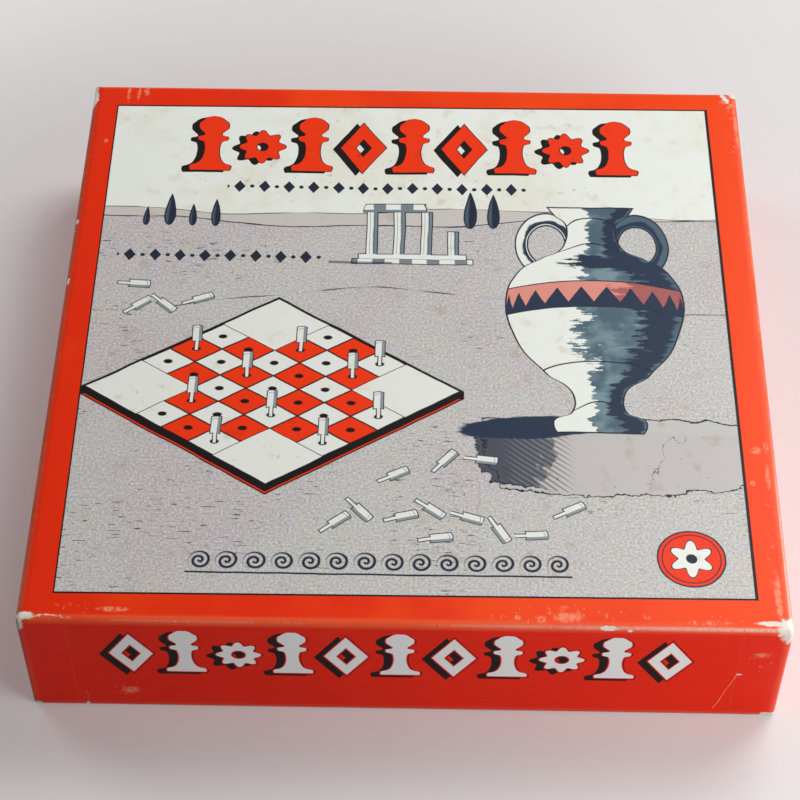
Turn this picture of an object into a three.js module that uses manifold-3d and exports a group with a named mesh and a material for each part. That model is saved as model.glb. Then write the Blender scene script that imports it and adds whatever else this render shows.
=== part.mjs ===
// A boxed peg solitaire game, closed. A set-up box of scored chipboard, its corners stayed with kraft
// tape and its outside wrapped in printed paper, holds a wooden board with thirty-three drilled holes,
// thirty-two turned pegs standing in it and a folded leaflet under it.
// Millimetres. X runs across the front, Y to the back and Z up, from the middle of the tray's underside.
import * as THREE from "three";
import { mergeVertices } from "three/addons/utils/BufferGeometryUtils.js";
import Module from "manifold-3d";

const wasm = await Module();
wasm.setup();

// The closed box, over its paper
const BOX_WIDTH = 215.9;
const BOX_DEPTH = 215.9;
const BOX_HEIGHT = 44.45;
const CORNER_RADIUS = 1.2;
const LEAST_CORNER_RADIUS = 0.2;
const LID_FOLD_RADIUS = 2.2;
const TRAY_FOLD_RADIUS = 1.6;

// Sheet stock of the box
const CHIPBOARD = 1.2;
const WRAP_PAPER = 0.2;
const STAY_TAPE = 0.2;
const STAY_LEG = 20;
const FLAP_GAP = 0.3;
const TURN_IN = 16;
const TURN_UNDER = 14;

// Fits of the box
const LID_CLEARANCE = 0.5;
const LID_RIM_ABOVE_TABLE = 0.5;

// The folded leaflet
const LEAFLET_WIDTH = 139.7;
const LEAFLET_DEPTH = 107.95;
const LEAFLET_PAPER = 0.3;
const LEAFLET_GAP = 0.2;

// The board
const BOARD_CLEARANCE = 2.65;
const BOARD_THICKNESS = 6.35;
const BOARD_CORNER_RADIUS = 1.6;
const BOARD_EDGE_RADIUS = 0.8;
const FACE_PAPER = 0.2;
const FACE_MARGIN = 1.6;
const GRID_MARGIN = 3.2;
const HOLE_DIAMETER = 3.5;
const HOLE_DEPTH = 5;

// A peg
const HEAD_DIAMETER = 6.35;
const HEAD_LENGTH = 15.9;
const HEAD_EASE = 0.5;
const SHANK_DIAMETER = 3;
const SHANK_LENGTH = 10.2;
const SHANK_EASE = 0.4;

// How far a cutting solid runs past what it cuts
const OVERRUN = 1;

// Counts
const GRID_CELLS = 7;
const ARM_CELLS = 3;
const CORNER_STEPS = 4;
const FOLD_STEPS = 4;
const EDGE_STEPS = 2;
const LEAFLET_FOLD_STEPS = 6;
const ROUND_SIDES = 12;
const BOX_CORNERS = 4;

// Sizes that follow from the ones above
const WALL = WRAP_PAPER + CHIPBOARD;
const LINED_WALL = WALL + WRAP_PAPER;
const TRAY_HEIGHT = BOX_HEIGHT - WALL;
const LID_DEPTH = TRAY_HEIGHT - LID_RIM_ABOVE_TABLE;
const TRAY_WIDTH = BOX_WIDTH - 2 * (LINED_WALL + LID_CLEARANCE);
const TRAY_LENGTH = BOX_DEPTH - 2 * (LINED_WALL + LID_CLEARANCE);
const LEAFLET_THICKNESS = 2 * LEAFLET_PAPER + LEAFLET_GAP;
const BOARD_WIDTH = TRAY_WIDTH - 2 * (LINED_WALL + BOARD_CLEARANCE);
const BOARD_DEPTH = TRAY_LENGTH - 2 * (LINED_WALL + BOARD_CLEARANCE);
const BOARD_TOP = BOARD_THICKNESS + FACE_PAPER;
const HOLE_FLOOR = BOARD_TOP - HOLE_DEPTH;
const PITCH_ACROSS = (BOARD_WIDTH - 2 * GRID_MARGIN) / GRID_CELLS;
const PITCH_DEEP = (BOARD_DEPTH - 2 * GRID_MARGIN) / GRID_CELLS;

// Outlines in plan, which every piece of the same box or board follows
const LID_OUTLINE = { width: BOX_WIDTH, depth: BOX_DEPTH, corner: CORNER_RADIUS };
const TRAY_OUTLINE = { width: TRAY_WIDTH, depth: TRAY_LENGTH, corner: CORNER_RADIUS };
const BOARD_OUTLINE = { width: BOARD_WIDTH, depth: BOARD_DEPTH, corner: BOARD_CORNER_RADIUS };

function finish(color, roughness) {
  return new THREE.MeshStandardMaterial({ color, roughness, metalness: 0 });
}

const FINISHES = {
  chipboard: finish(0xa89a84, 0.9),
  stayTape: finish(0xb48a5a, 0.8),
  printedWrap: finish(0xe0402a, 0.5),
  plainWrap: finish(0xd23c22, 0.6),
  leaflet: finish(0xe9e2cf, 0.85),
  boardWood: finish(0x2a2420, 0.6),
  boardFace: finish(0xe8e2d0, 0.6),
  pegWood: finish(0xe2d3b0, 0.55),
};

// A rounded rectangle drawn in from its outline by an inset, anticlockwise from the right-hand side.
function ring(outline, inset, z) {
  const radius = Math.max(outline.corner - inset, LEAST_CORNER_RADIUS);
  const x = outline.width / 2 - inset - radius;
  const y = outline.depth / 2 - inset - radius;
  const points = [];
  for (let corner = 0; corner < BOX_CORNERS; corner++) {
    const centreX = corner === 0 || corner === 3 ? x : -x;
    const centreY = corner < 2 ? y : -y;
    for (let step = 0; step <= CORNER_STEPS; step++) {
      const angle = ((corner + step / CORNER_STEPS) * Math.PI) / 2;
      points.push([centreX + radius * Math.cos(angle), centreY + radius * Math.sin(angle), z]);
    }
  }
  return points;
}

// A profile of [inset, height] points carried round an outline. An open profile runs up the outside and
// is capped at both ends; a closed one makes a band. Each face is split from its lower edge, so that two
// pieces that share a curved surface split it alike.
function carry(profile, outline, closed = false) {
  const rings = profile.map(([inset, z]) => ring(outline, inset, z));
  const around = rings[0].length;
  const positions = rings.flat(2);
  const index = [];
  const spans = closed ? rings.length : rings.length - 1;
  for (let span = 0; span < spans; span++) {
    const next = (span + 1) % rings.length;
    const rises = profile[next][1] >= profile[span][1];
    for (let j = 0; j < around; j++) {
      const k = (j + 1) % around;
      const [a, b] = [span * around + j, span * around + k];
      const [c, d] = [next * around + k, next * around + j];
      index.push(...(rises ? [a, b, c, a, c, d] : [a, b, d, b, c, d]));
    }
  }
  if (!closed) {
    const last = rings.length - 1;
    const first = positions.push(0, 0, profile[0][1]) / 3 - 1;
    const final = positions.push(0, 0, profile[last][1]) / 3 - 1;
    for (let j = 0; j < around; j++) {
      const k = (j + 1) % around;
      index.push(first, k, j, final, last * around + j, last * around + k);
    }
  }
  const geometry = new THREE.BufferGeometry();
  geometry.setAttribute("position", new THREE.Float32BufferAttribute(positions, 3));
  geometry.setIndex(index);
  return geometry;
}

// A quarter circle from an upright wall over to a level panel, as profile points from the wall onwards.
function foldArc(foldRadius, offset, centreZ, way, steps = FOLD_STEPS) {
  const radius = foldRadius - offset;
  return Array.from({ length: steps + 1 }, (_, step) => {
    const angle = ((step / steps) * Math.PI) / 2;
    return [foldRadius - radius * Math.cos(angle), centreZ + way * radius * Math.sin(angle)];
  });
}

function toSolid(geometry) {
  const bare = geometry.clone();
  bare.deleteAttribute("normal");
  bare.deleteAttribute("uv");
  const merged = mergeVertices(bare);
  return new wasm.Manifold(
    new wasm.Mesh({
      numProp: 3,
      vertProperties: merged.attributes.position.array,
      triVerts: new Uint32Array(merged.index.array),
    }),
  );
}

function toGeometry(solid) {
  const mesh = solid.getMesh();
  const geometry = new THREE.BufferGeometry();
  geometry.setAttribute("position", new THREE.BufferAttribute(mesh.vertProperties, 3));
  geometry.setIndex(new THREE.BufferAttribute(mesh.triVerts, 1));
  return geometry;
}

function cut(geometry, tools) {
  return toGeometry(tools.reduce((rest, tool) => rest.subtract(toSolid(tool)), toSolid(geometry)));
}

function piece(name, geometry, material) {
  const mesh = new THREE.Mesh(geometry, material);
  mesh.name = name;
  return mesh;
}

// Strips of tape round the four upright corners of a shell, let into the chipboard under the wrap
function stayGeometries(outline, low, high) {
  const across = BOX_CORNERS * (CORNER_STEPS + 1);
  const outer = ring(outline, WRAP_PAPER, low);
  const inner = ring(outline, WRAP_PAPER + STAY_TAPE, low);
  const straight = STAY_LEG - outline.corner;
  return Array.from({ length: BOX_CORNERS }, (_, corner) => {
    const from = (corner * across) / BOX_CORNERS;
    const to = from + CORNER_STEPS;
    const angle = (corner * Math.PI) / 2;
    const [x, y] = [straight * Math.cos(angle), straight * Math.sin(angle)];
    const back = ([px, py]) => new THREE.Vector2(px + y, py - x);
    const onward = ([px, py]) => new THREE.Vector2(px - x, py - y);
    const bend = (points) => points.slice(from, to + 1).map(([px, py]) => new THREE.Vector2(px, py));
    const outline2d = [
      back(outer[from]),
      ...bend(outer),
      onward(outer[to]),
      onward(inner[to]),
      ...bend(inner).reverse(),
      back(inner[from]),
    ];
    const strip = new THREE.ExtrudeGeometry(new THREE.Shape(outline2d), {
      depth: high - low,
      bevelEnabled: false,
    });
    return strip.translate(0, 0, low);
  });
}

// The open joints between the ends of neighbouring walls: the front and back flaps stop against the
// side flaps, and only tape and wrap hold them together.
function flapGaps(outline, low, high) {
  const length = CHIPBOARD + OVERRUN + OVERRUN;
  const x = outline.width / 2 - WALL - FLAP_GAP / 2;
  const y = outline.depth / 2 - WALL + CHIPBOARD / 2;
  const gaps = [];
  for (const sideX of [-1, 1]) {
    for (const sideY of [-1, 1]) {
      const gap = new THREE.BoxGeometry(FLAP_GAP, length, high - low);
      gaps.push(gap.translate(sideX * x, sideY * y, (low + high) / 2));
    }
  }
  return gaps;
}

function chipboardShell(profile, outline, stays, low, high) {
  return cut(carry(profile, outline), [...stays, ...flapGaps(outline, low, high)]);
}

// The lid, with its origin on the underside of its panel, where the tray's rim bears
function makeLid() {
  const top = WALL;
  const rim = -LID_DEPTH;
  const boardRim = rim + WRAP_PAPER;
  const foldStart = top - LID_FOLD_RADIUS;
  const outerFold = foldArc(LID_FOLD_RADIUS, 0, foldStart, 1);
  const boardFold = foldArc(LID_FOLD_RADIUS, WRAP_PAPER, foldStart, 1);
  const stays = stayGeometries(LID_OUTLINE, boardRim, foldStart);
  const shellProfile = [[WALL, 0], [WALL, boardRim], [WRAP_PAPER, boardRim], ...boardFold];
  const wrapProfile = [
    ...[...boardFold].reverse(),
    [WRAP_PAPER, boardRim],
    [WALL, boardRim],
    [WALL, rim + TURN_IN],
    [LINED_WALL, rim + TURN_IN],
    [LINED_WALL, rim],
    [0, rim],
    ...outerFold,
  ];
  const shell = chipboardShell(shellProfile, LID_OUTLINE, stays, boardRim - OVERRUN, foldStart);
  const lid = new THREE.Group();
  lid.add(piece("lid_shell", shell, FINISHES.chipboard));
  lid.add(piece("lid_wrap", carry(wrapProfile, LID_OUTLINE), FINISHES.printedWrap));
  stays.forEach((stay, n) => lid.add(piece(`lid_corner_stay_${n + 1}`, stay, FINISHES.stayTape)));
  lid.position.z = TRAY_HEIGHT;
  return lid;
}

// The tray, with its origin in the middle of its underside. The wrap's lower edge lies in a rebate of
// the underside, so the chipboard and the paper rest level.
function makeTray() {
  const rim = TRAY_HEIGHT;
  const boardRim = rim - WRAP_PAPER;
  const underEdge = WRAP_PAPER + TURN_UNDER;
  const outerFold = foldArc(TRAY_FOLD_RADIUS, 0, TRAY_FOLD_RADIUS, -1).reverse();
  const boardFold = foldArc(TRAY_FOLD_RADIUS, WRAP_PAPER, TRAY_FOLD_RADIUS, -1).reverse();
  const stays = stayGeometries(TRAY_OUTLINE, TRAY_FOLD_RADIUS, boardRim);
  const shellProfile = [
    [underEdge, 0],
    [underEdge, WRAP_PAPER],
    ...boardFold,
    [WRAP_PAPER, boardRim],
    [WALL, boardRim],
    [WALL, CHIPBOARD],
  ];
  const wrapProfile = [
    [underEdge, 0],
    ...outerFold,
    [0, rim],
    [LINED_WALL, rim],
    [LINED_WALL, rim - TURN_IN],
    [WALL, rim - TURN_IN],
    [WALL, boardRim],
    [WRAP_PAPER, boardRim],
    ...[...boardFold].reverse(),
    [underEdge, WRAP_PAPER],
  ];
  const shell = chipboardShell(shellProfile, TRAY_OUTLINE, stays, TRAY_FOLD_RADIUS, boardRim + OVERRUN);
  const tray = new THREE.Group();
  tray.add(piece("tray_shell", shell, FINISHES.chipboard));
  tray.add(piece("tray_wrap", carry(wrapProfile, TRAY_OUTLINE, true), FINISHES.plainWrap));
  stays.forEach((stay, n) => tray.add(piece(`tray_corner_stay_${n + 1}`, stay, FINISHES.stayTape)));
  return tray;
}

// One sheet folded once, so its section is a long U lying on its side with the fold at the back
function makeLeaflet() {
  const outerRadius = LEAFLET_THICKNESS / 2;
  const innerRadius = LEAFLET_GAP / 2;
  const foldAt = LEAFLET_DEPTH - outerRadius;
  const section = new THREE.Shape();
  section.moveTo(0, 0);
  section.lineTo(foldAt, 0);
  section.absarc(foldAt, outerRadius, outerRadius, -Math.PI / 2, Math.PI / 2, false);
  section.lineTo(0, LEAFLET_THICKNESS);
  section.lineTo(0, LEAFLET_THICKNESS - LEAFLET_PAPER);
  section.lineTo(foldAt, LEAFLET_THICKNESS - LEAFLET_PAPER);
  section.absarc(foldAt, outerRadius, innerRadius, Math.PI / 2, -Math.PI / 2, true);
  section.lineTo(0, LEAFLET_PAPER);
  section.closePath();
  const sheet = new THREE.ExtrudeGeometry(section, {
    depth: LEAFLET_WIDTH,
    bevelEnabled: false,
    curveSegments: LEAFLET_FOLD_STEPS,
  });
  const leaflet = piece("rules_leaflet", sheet, FINISHES.leaflet);
  leaflet.rotation.set(Math.PI / 2, Math.PI / 2, 0);
  leaflet.position.set(-LEAFLET_WIDTH / 2, -LEAFLET_DEPTH / 2, CHIPBOARD);
  return leaflet;
}

// The cells of the cross, as columns and rows counted from the middle cell
function crossCells() {
  const reach = (GRID_CELLS - 1) / 2;
  const arm = (ARM_CELLS - 1) / 2;
  const cells = [];
  for (let row = -reach; row <= reach; row++) {
    for (let column = -reach; column <= reach; column++) {
      if (Math.abs(row) <= arm || Math.abs(column) <= arm) cells.push({ column, row });
    }
  }
  return cells;
}

function holeCutter({ column, row }) {
  const length = HOLE_DEPTH + OVERRUN;
  const cutter = new THREE.CylinderGeometry(HOLE_DIAMETER / 2, HOLE_DIAMETER / 2, length, ROUND_SIDES);
  cutter.rotateX(Math.PI / 2);
  return cutter.translate(column * PITCH_ACROSS, row * PITCH_DEEP, HOLE_FLOOR + length / 2);
}

function pegGeometry() {
  const shank = SHANK_DIAMETER / 2;
  const head = HEAD_DIAMETER / 2;
  const top = SHANK_LENGTH + HEAD_LENGTH;
  const profile = [
    [0, 0],
    [shank - SHANK_EASE, 0],
    [shank, SHANK_EASE],
    [shank, SHANK_LENGTH],
    [head - HEAD_EASE, SHANK_LENGTH],
    [head, SHANK_LENGTH + HEAD_EASE],
    [head, top - HEAD_EASE],
    [head - HEAD_EASE, top],
    [0, top],
  ];
  return new THREE.LatheGeometry(profile.map(([r, y]) => new THREE.Vector2(r, y)), ROUND_SIDES);
}

function makePeg({ column, row }) {
  const file = String.fromCharCode("a".charCodeAt(0) + column + (GRID_CELLS - 1) / 2);
  const rank = row + (GRID_CELLS + 1) / 2;
  const peg = piece(`peg_${file}${rank}`, pegGeometry(), FINISHES.pegWood);
  peg.rotation.x = Math.PI / 2;
  peg.position.set(column * PITCH_ACROSS, row * PITCH_DEEP, HOLE_FLOOR);
  return peg;
}

// The board with its printed face and its pegs, with its origin in the middle of its underside. The
// middle hole is left empty, as the game starts.
function makeBoard() {
  const cells = crossCells();
  const cutters = cells.map(holeCutter);
  const edge = (centreZ, way) => foldArc(BOARD_EDGE_RADIUS, 0, centreZ, way, EDGE_STEPS);
  const coreProfile = [
    ...edge(BOARD_EDGE_RADIUS, -1).reverse(),
    ...edge(BOARD_THICKNESS - BOARD_EDGE_RADIUS, 1),
  ];
  const faceProfile = [[FACE_MARGIN, BOARD_THICKNESS], [FACE_MARGIN, BOARD_TOP]];
  const core = cut(carry(coreProfile, BOARD_OUTLINE), cutters);
  const face = cut(carry(faceProfile, BOARD_OUTLINE), cutters);
  const board = new THREE.Group();
  board.add(piece("board_core", core, FINISHES.boardWood));
  board.add(piece("board_face", face, FINISHES.boardFace));
  const pegged = cells.filter(({ column, row }) => column !== 0 || row !== 0);
  pegged.forEach((cell) => board.add(makePeg(cell)));
  board.position.z = CHIPBOARD + LEAFLET_THICKNESS;
  return board;
}

const game = new THREE.Group();
game.add(makeTray(), makeLeaflet(), makeBoard(), makeLid());

export default game;
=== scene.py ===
"""A boxed peg solitaire game, closed: the finish of every surface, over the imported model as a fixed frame."""

import bmesh
import bpy
import numpy as np
from mathutils import Matrix, Vector


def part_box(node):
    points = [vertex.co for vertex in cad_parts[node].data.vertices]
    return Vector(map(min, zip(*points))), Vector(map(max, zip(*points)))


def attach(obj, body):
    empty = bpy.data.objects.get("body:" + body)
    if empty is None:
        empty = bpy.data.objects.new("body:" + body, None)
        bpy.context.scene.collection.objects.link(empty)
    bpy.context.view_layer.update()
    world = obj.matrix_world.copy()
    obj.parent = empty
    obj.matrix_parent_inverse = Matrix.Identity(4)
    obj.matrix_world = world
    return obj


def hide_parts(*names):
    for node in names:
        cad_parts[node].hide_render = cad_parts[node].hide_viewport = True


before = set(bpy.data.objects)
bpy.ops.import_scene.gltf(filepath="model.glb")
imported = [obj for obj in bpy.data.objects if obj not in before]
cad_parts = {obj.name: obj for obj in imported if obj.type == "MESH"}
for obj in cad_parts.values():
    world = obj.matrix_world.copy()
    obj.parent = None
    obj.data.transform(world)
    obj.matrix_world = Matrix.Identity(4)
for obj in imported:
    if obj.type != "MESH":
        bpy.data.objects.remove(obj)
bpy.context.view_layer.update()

MM = 0.001

# The box, read from the frame, in metres
LID_LOW, LID_HIGH = (np.array(corner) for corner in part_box("lid_wrap"))
TRAY_HIGH = np.array(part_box("tray_wrap")[1])
PAPER = LID_HIGH[2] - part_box("lid_shell")[1][2]

# Stock and bends of the box, in metres. On the front and back walls the side flaps' tabs end at TAB_WIDTH
# from the corners, and the paper over them steps down by TAB_STEP within TAB_EDGE.
CHIPBOARD = 1.2 * MM
WALL = PAPER + CHIPBOARD
CORNER_RADIUS = 1.2 * MM
LEAST_RADIUS = 0.2 * MM
LID_FOLD = 2.2 * MM
TRAY_FOLD = 1.6 * MM
TURN_IN = 16 * MM
TURN_UNDER = 14 * MM
TAB_WIDTH = 13.5 * MM
TAB_STEP = 0.07 * MM
TAB_EDGE = 0.4 * MM

# A turned peg, in metres: radii and length, the flare and rise of its neck, and the easing of its ends
HEAD_RADIUS, SHANK_RADIUS, SHANK_LENGTH = 3.175 * MM, 1.5 * MM, 10.2 * MM
NECK_FLARE, NECK_RISE = 0.15 * MM, 0.3 * MM
HEAD_EASE, TIP_EASE = 0.5 * MM, 0.4 * MM

# Points of the surfaces
CORNER_POINTS, FOLD_POINTS, RIM_POINTS, HEM_POINTS, UNDER_POINTS = 13, 13, 4, 5, 4
WALL_POINTS, SIDE_POINTS, PANEL_ROWS = 24, 70, 16
PEG_POINTS, EASE_POINTS, HEAD_POINTS = 40, 5, 6

# The camera, found from the corners of the box in the photograph
CAMERA_PLACE = (0.00535, -0.4497, 0.5634)
CAMERA_FORWARD = (-0.01177, 0.6309, -0.77577)
CAMERA_UP = (-0.01465, 0.77563, 0.63101)
CAMERA_LENS_MM, CAMERA_SENSOR_MM = 100.69, 36

# Each lamp's place and width in metres, and its power in watts
LAMPS = {
    "high_right": ((0.43, 0.46, 0.87), 0.55, 6.5),
    "low_left": ((-0.69, 0.51, 0.39), 0.42, 2.25),
    "low_right": ((0.42, -0.31, 0.22), 0.35, 2.3),
}
# How bright the sky is as a lamp, and how bright it looks to the camera and in reflections
SKY_LIGHT, SKY_SEEN = 0.12, 0.8
# The floor's half width and drop in metres, its glow, and from where to where it fades into the look of the
# sky, in millimetres from the middle
FLOOR_HALF, FLOOR_DROP, FLOOR_GLOW = 6, 0.02 * MM, 0.1
FADE_START, FADE_END = 165, 340


def add_object(name, data):
    """A new object in the scene, of a mesh, a camera or a lamp."""
    made = bpy.data.objects.new(name, data)
    bpy.context.scene.collection.objects.link(made)
    return made


def place_camera():
    forward, up = Vector(CAMERA_FORWARD).normalized(), Vector(CAMERA_UP)
    right = forward.cross(up).normalized()
    turned = Matrix((right, right.cross(forward), -forward)).transposed().to_4x4()
    data = bpy.data.cameras.new("camera")
    data.lens, data.sensor_width = CAMERA_LENS_MM, CAMERA_SENSOR_MM
    camera = add_object("camera", data)
    camera.matrix_world = Matrix.Translation(CAMERA_PLACE) @ turned
    bpy.context.scene.camera = camera


# Shader maths

# The width in millimetres over which a printed edge goes from full ink to none
INK_SOFT = 0.16


def operation(kind):
    """A method that adds one Math node for a socket and what the method is given."""
    return lambda socket, *others: socket.math(kind, socket, *others)


class Socket:
    """A shader socket. Arithmetic on it adds Math nodes, and node adds any other kind of node."""

    def __init__(self, tree, socket=None):
        self.tree, self.socket = tree, socket

    def node(self, kind, inputs, out=0, curve=None, **settings):
        """Adds a node, makes its settings, then gives its inputs values or links."""
        made = self.tree.nodes.new("ShaderNode" + kind)
        for name, value in settings.items():
            setattr(made, name, value)
        if curve:
            points = made.mapping.curves[0].points
            while len(points) < len(curve):
                points.new(0.5, 0.5)
            for point, place in zip(points, curve):
                point.location = place
            made.mapping.update()
        for key, value in inputs.items():
            if isinstance(value, Socket):
                self.tree.links.new(value.socket, made.inputs[key])
            else:
                made.inputs[key].default_value = value
        return Socket(self.tree, made.outputs[out]) if out is not None else made

    def math(self, kind, *values, clamp=False):
        return self.node("Math", dict(enumerate(values)), operation=kind, use_clamp=clamp)

    __add__ = __radd__ = operation("ADD")
    __mul__ = __rmul__ = operation("MULTIPLY")
    __sub__, __truediv__ = operation("SUBTRACT"), operation("DIVIDE")
    __mod__, __abs__ = operation("FLOORED_MODULO"), operation("ABSOLUTE")
    least, most = operation("MINIMUM"), operation("MAXIMUM")
    above, below = operation("GREATER_THAN"), operation("LESS_THAN")
    floor, root = operation("FLOOR"), operation("SQRT")
    sine, cosine = operation("SINE"), operation("COSINE")
    arcsine, arctangent = operation("ARCSINE"), operation("ARCTAN2")

    def __rsub__(self, other):
        return self.math("SUBTRACT", other, self)

    def __neg__(self):
        return self * -1

    def times_plus(self, factor, offset, clamp=False):
        return self.math("MULTIPLY_ADD", self, factor, offset, clamp=clamp)

    def choose(self, if_zero, if_one):
        return self.node("Mix", {0: self, 2: if_zero, 3: if_one}, data_type="FLOAT")

    def ramp(self, low, high):
        """A smooth rise from 0 at low to 1 at high, where high may be the lower of the two."""
        ends = {"Value": self, "From Min": low, "From Max": high}
        return self.node("MapRange", ends, interpolation_type="SMOOTHSTEP")

    def inside(self, soft=INK_SOFT):
        """1 where a distance is below zero, with an edge that is soft, both in the distance's own unit."""
        return self.times_plus(-1 / soft, 0.5, clamp=True)

    def stroke(self, width, soft=INK_SOFT):
        """A line as wide as width along a distance's zero."""
        return (abs(self) - width / 2).inside(soft)

    def parts(self):
        """The x, y and z of a vector."""
        split = self.node("SeparateXYZ", {"Vector": self}, out=None)
        return [Socket(self.tree, split.outputs[axis]) for axis in range(3)]


def length(x, y):
    return (x * x + y * y).root()


def block(across, half_width, up, half_height):
    """The distance from an upright rectangle round the place where across and up are 0."""
    return (abs(across) - half_width).most(abs(up) - half_height)


def petals(across, up, leaves):
    """A wave from -1 to 1 that has so many leaves round a middle."""
    return (across.arctangent(up) * leaves).cosine()


def vector(x, y, z=0):
    """A vector from numbers and sockets, the first of them a socket."""
    return x.node("CombineXYZ", {0: x, 1: y, 2: z})


def noise(place, scale, detail=2, roughness=0.5, **settings):
    """Cloudy noise round 0.5, with scale waves to a unit of the place."""
    inputs = {"Vector": place, "Scale": scale, "Detail": detail, "Roughness": roughness}
    return place.node("TexNoise", inputs, **settings)


def paint(under, mask, colour, blend="MIX"):
    """The colour laid over what is under it, as far as the mask says."""
    inputs = {0: mask, 6: under, 7: colour}
    return mask.node("Mix", inputs, out=2, data_type="RGBA", blend_type=blend)


def stain(under, mask, colour):
    """The colour multiplied into what is under it, as far as the mask says."""
    return paint(under, mask, colour, "MULTIPLY")


def between(low, share, high):
    """The number that lies a share of the way from low to high."""
    return share * (high - low) + low


def srgb(red, green, blue):
    """A colour given as it looks on a screen, 0 to 255, in linear light."""
    shares = np.array([red, green, blue]) / 255
    linear = np.where(shares > 0.04045, ((shares + 0.055) / 1.055) ** 2.4, shares / 12.92)
    return (*linear.tolist(), 1)


# Inks and papers
WHITE = (1, 1, 1, 1)
# The border's ink in two tones, mixed at random and warmer to the right as painted light, and a redder copy of
# it for the walls, painted for their dimmer light
ORANGE_RED = srgb(233, 46, 8)
ORANGE_WARM = srgb(247, 70, 10)
WALL_RED = srgb(250, 40, 5)
WALL_RED_DEEP = srgb(243, 36, 6)
CREAM = srgb(237, 240, 232)
CREAM_AGED = srgb(230, 228, 213)
GROUND = srgb(197, 195, 190)
GROUND_MAUVE = srgb(194, 186, 186)
GROUND_GRAIN = srgb(220, 219, 217)
GROUND_DARK = srgb(162, 162, 172)
GROUND_STAIN = srgb(206, 192, 176)
FAR_GROUND = srgb(205, 198, 192)
NAVY = srgb(31, 38, 56)
BLACK = srgb(13, 3, 5)
WASH_PALE = srgb(120, 146, 152)
WASH = srgb(78, 100, 114)
DEEP_WASH = srgb(36, 50, 72)
SLATE = srgb(112, 114, 122)
SALMON = srgb(226, 146, 132)
SALMON_DEEP = srgb(170, 96, 94)
CHECK_ORANGE = srgb(243, 56, 14)
CHECK_WHITE = srgb(234, 236, 228)
WALL_WHITE = srgb(250, 253, 252)
# Bare paper, also the painted highlight on the lid's front fold
TORN_PAPER_AND_HIGHLIGHT = srgb(238, 230, 217)
# Dirt, also painted shade along the lid's left fold
DIRT_AND_SHADE = srgb(150, 122, 96)
FOXING = srgb(222, 196, 170)
# The pink of scuffs, also the painted sheen along the lid's fold ridge
SCUFF_AND_SHEEN_PINK = srgb(246, 156, 124)
CHIPBOARD_GREY = srgb(158, 146, 126)
CHIPBOARD_DARK = srgb(118, 106, 90)
CHIPBOARD_PALE = srgb(190, 180, 160)
KRAFT = srgb(176, 134, 90)
KRAFT_DARK = srgb(140, 102, 64)
LEAFLET_CREAM = srgb(228, 221, 200)
STAINED_BLACK = srgb(38, 32, 30)
STAINED_BROWN = srgb(70, 58, 50)
BARE_EDGE = srgb(150, 120, 88)
EDGE_RED = srgb(196, 50, 34)
PALE_WOOD = srgb(224, 202, 160)
WARM_WOOD = srgb(206, 176, 128)
GRAIN_BROWN = srgb(184, 148, 100)
FLOOR_PALE = srgb(212, 210, 209)
FLOOR_DIM = srgb(150, 140, 142)

# The board's printed squares, their lines, the line round them and the leaflet's figure, in millimetres
BOARD_PITCH, BOARD_LINE, BOARD_FRAME, LEAFLET_PITCH = 28.114, 0.6, 98.4, 7.5


def chequered(u, v, line, soft):
    """The board's print at a place in squares, white round the lined chequer of its cross, and then the
    place's column and row and whether it is in the cross."""
    column, row = (u + 0.5).floor(), (v + 0.5).floor()
    chequer = ((column + row) % 2).above(0.5)
    cross = abs(column).least(abs(row)).below(1.5)
    inset = abs(u - column).most(abs(v - row))
    colour = paint(CHECK_WHITE, chequer * cross, CHECK_ORANGE)
    return paint(colour, (inset - 0.5).stroke(line, soft) * cross, BLACK), column, row, cross


def make_material(name, recipe, *given):
    """One Principled shader. Its recipe works in millimetres and gives colour, roughness, height and how deep
    the relief is, and then pairs for other sockets."""
    material = bpy.data.materials.new(name)
    material.use_nodes = True
    material.node_tree.nodes.clear()
    place = Socket(material.node_tree).node("TexCoord", {}, out="Object")
    place = place.node("VectorMath", {0: place, "Scale": 1 / MM}, operation="SCALE")
    colour, roughness, height, relief_mm, *others = recipe(place, *place.parts(), *given)
    raised = height.node("Bump", {"Height": height, "Distance": relief_mm * MM}, out="Normal")
    inputs = {"Base Color": colour, "Roughness": roughness, "Normal": raised}
    shader = height.node("BsdfPrincipled", inputs | dict(others), out="BSDF")
    shader.node("OutputMaterial", {"Surface": shader}, out=None)
    return material


# The printed picture, in millimetres on the lid's panel: its middle, half its size with its frame line, its
# turn as a slope, how far lines wander, and the frame line's widths and how uneven its sides are
PICTURE_X, PICTURE_Y = -0.35, 0.1
PICTURE_HALF_X, PICTURE_HALF_Y = 98.55, 98.5
ASKEW, WANDER = 0.006, 1.1
FRAME_SIDES, FRAME_ENDS, FRAME_UNEVEN = 0.675, 0.6, 0.225

# The rows of ornaments on the panel and on the front wall, and how their shadow and outline lie
PANEL_ROW = {"x": 0, "y": 68, "pitch": 16.6, "count": 9, "height": 25, "half": 7.8}
WALL_ROW = {"x": -1, "y": 18.6, "pitch": 15.2, "count": 11, "height": 21.5, "half": 6.9}
SHADOW_X, SHADOW_Y = -2.2, -0.7
OUTLINE = 0.34
ORNAMENT_MIDDLE_SHARE = 0.44

# A turned skittle's radius along its height, both as shares of the ornament's half width and height
SKITTLE_SHARES = [
    (0, 0.82), (0.07, 0.86), (0.12, 0.6), (0.2, 0.4), (0.38, 0.3), (0.52, 0.36), (0.57, 0.62),
    (0.62, 0.62), (0.66, 0.34), (0.72, 0.46), (0.82, 0.62), (0.92, 0.46), (1, 0.02),
]
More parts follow.
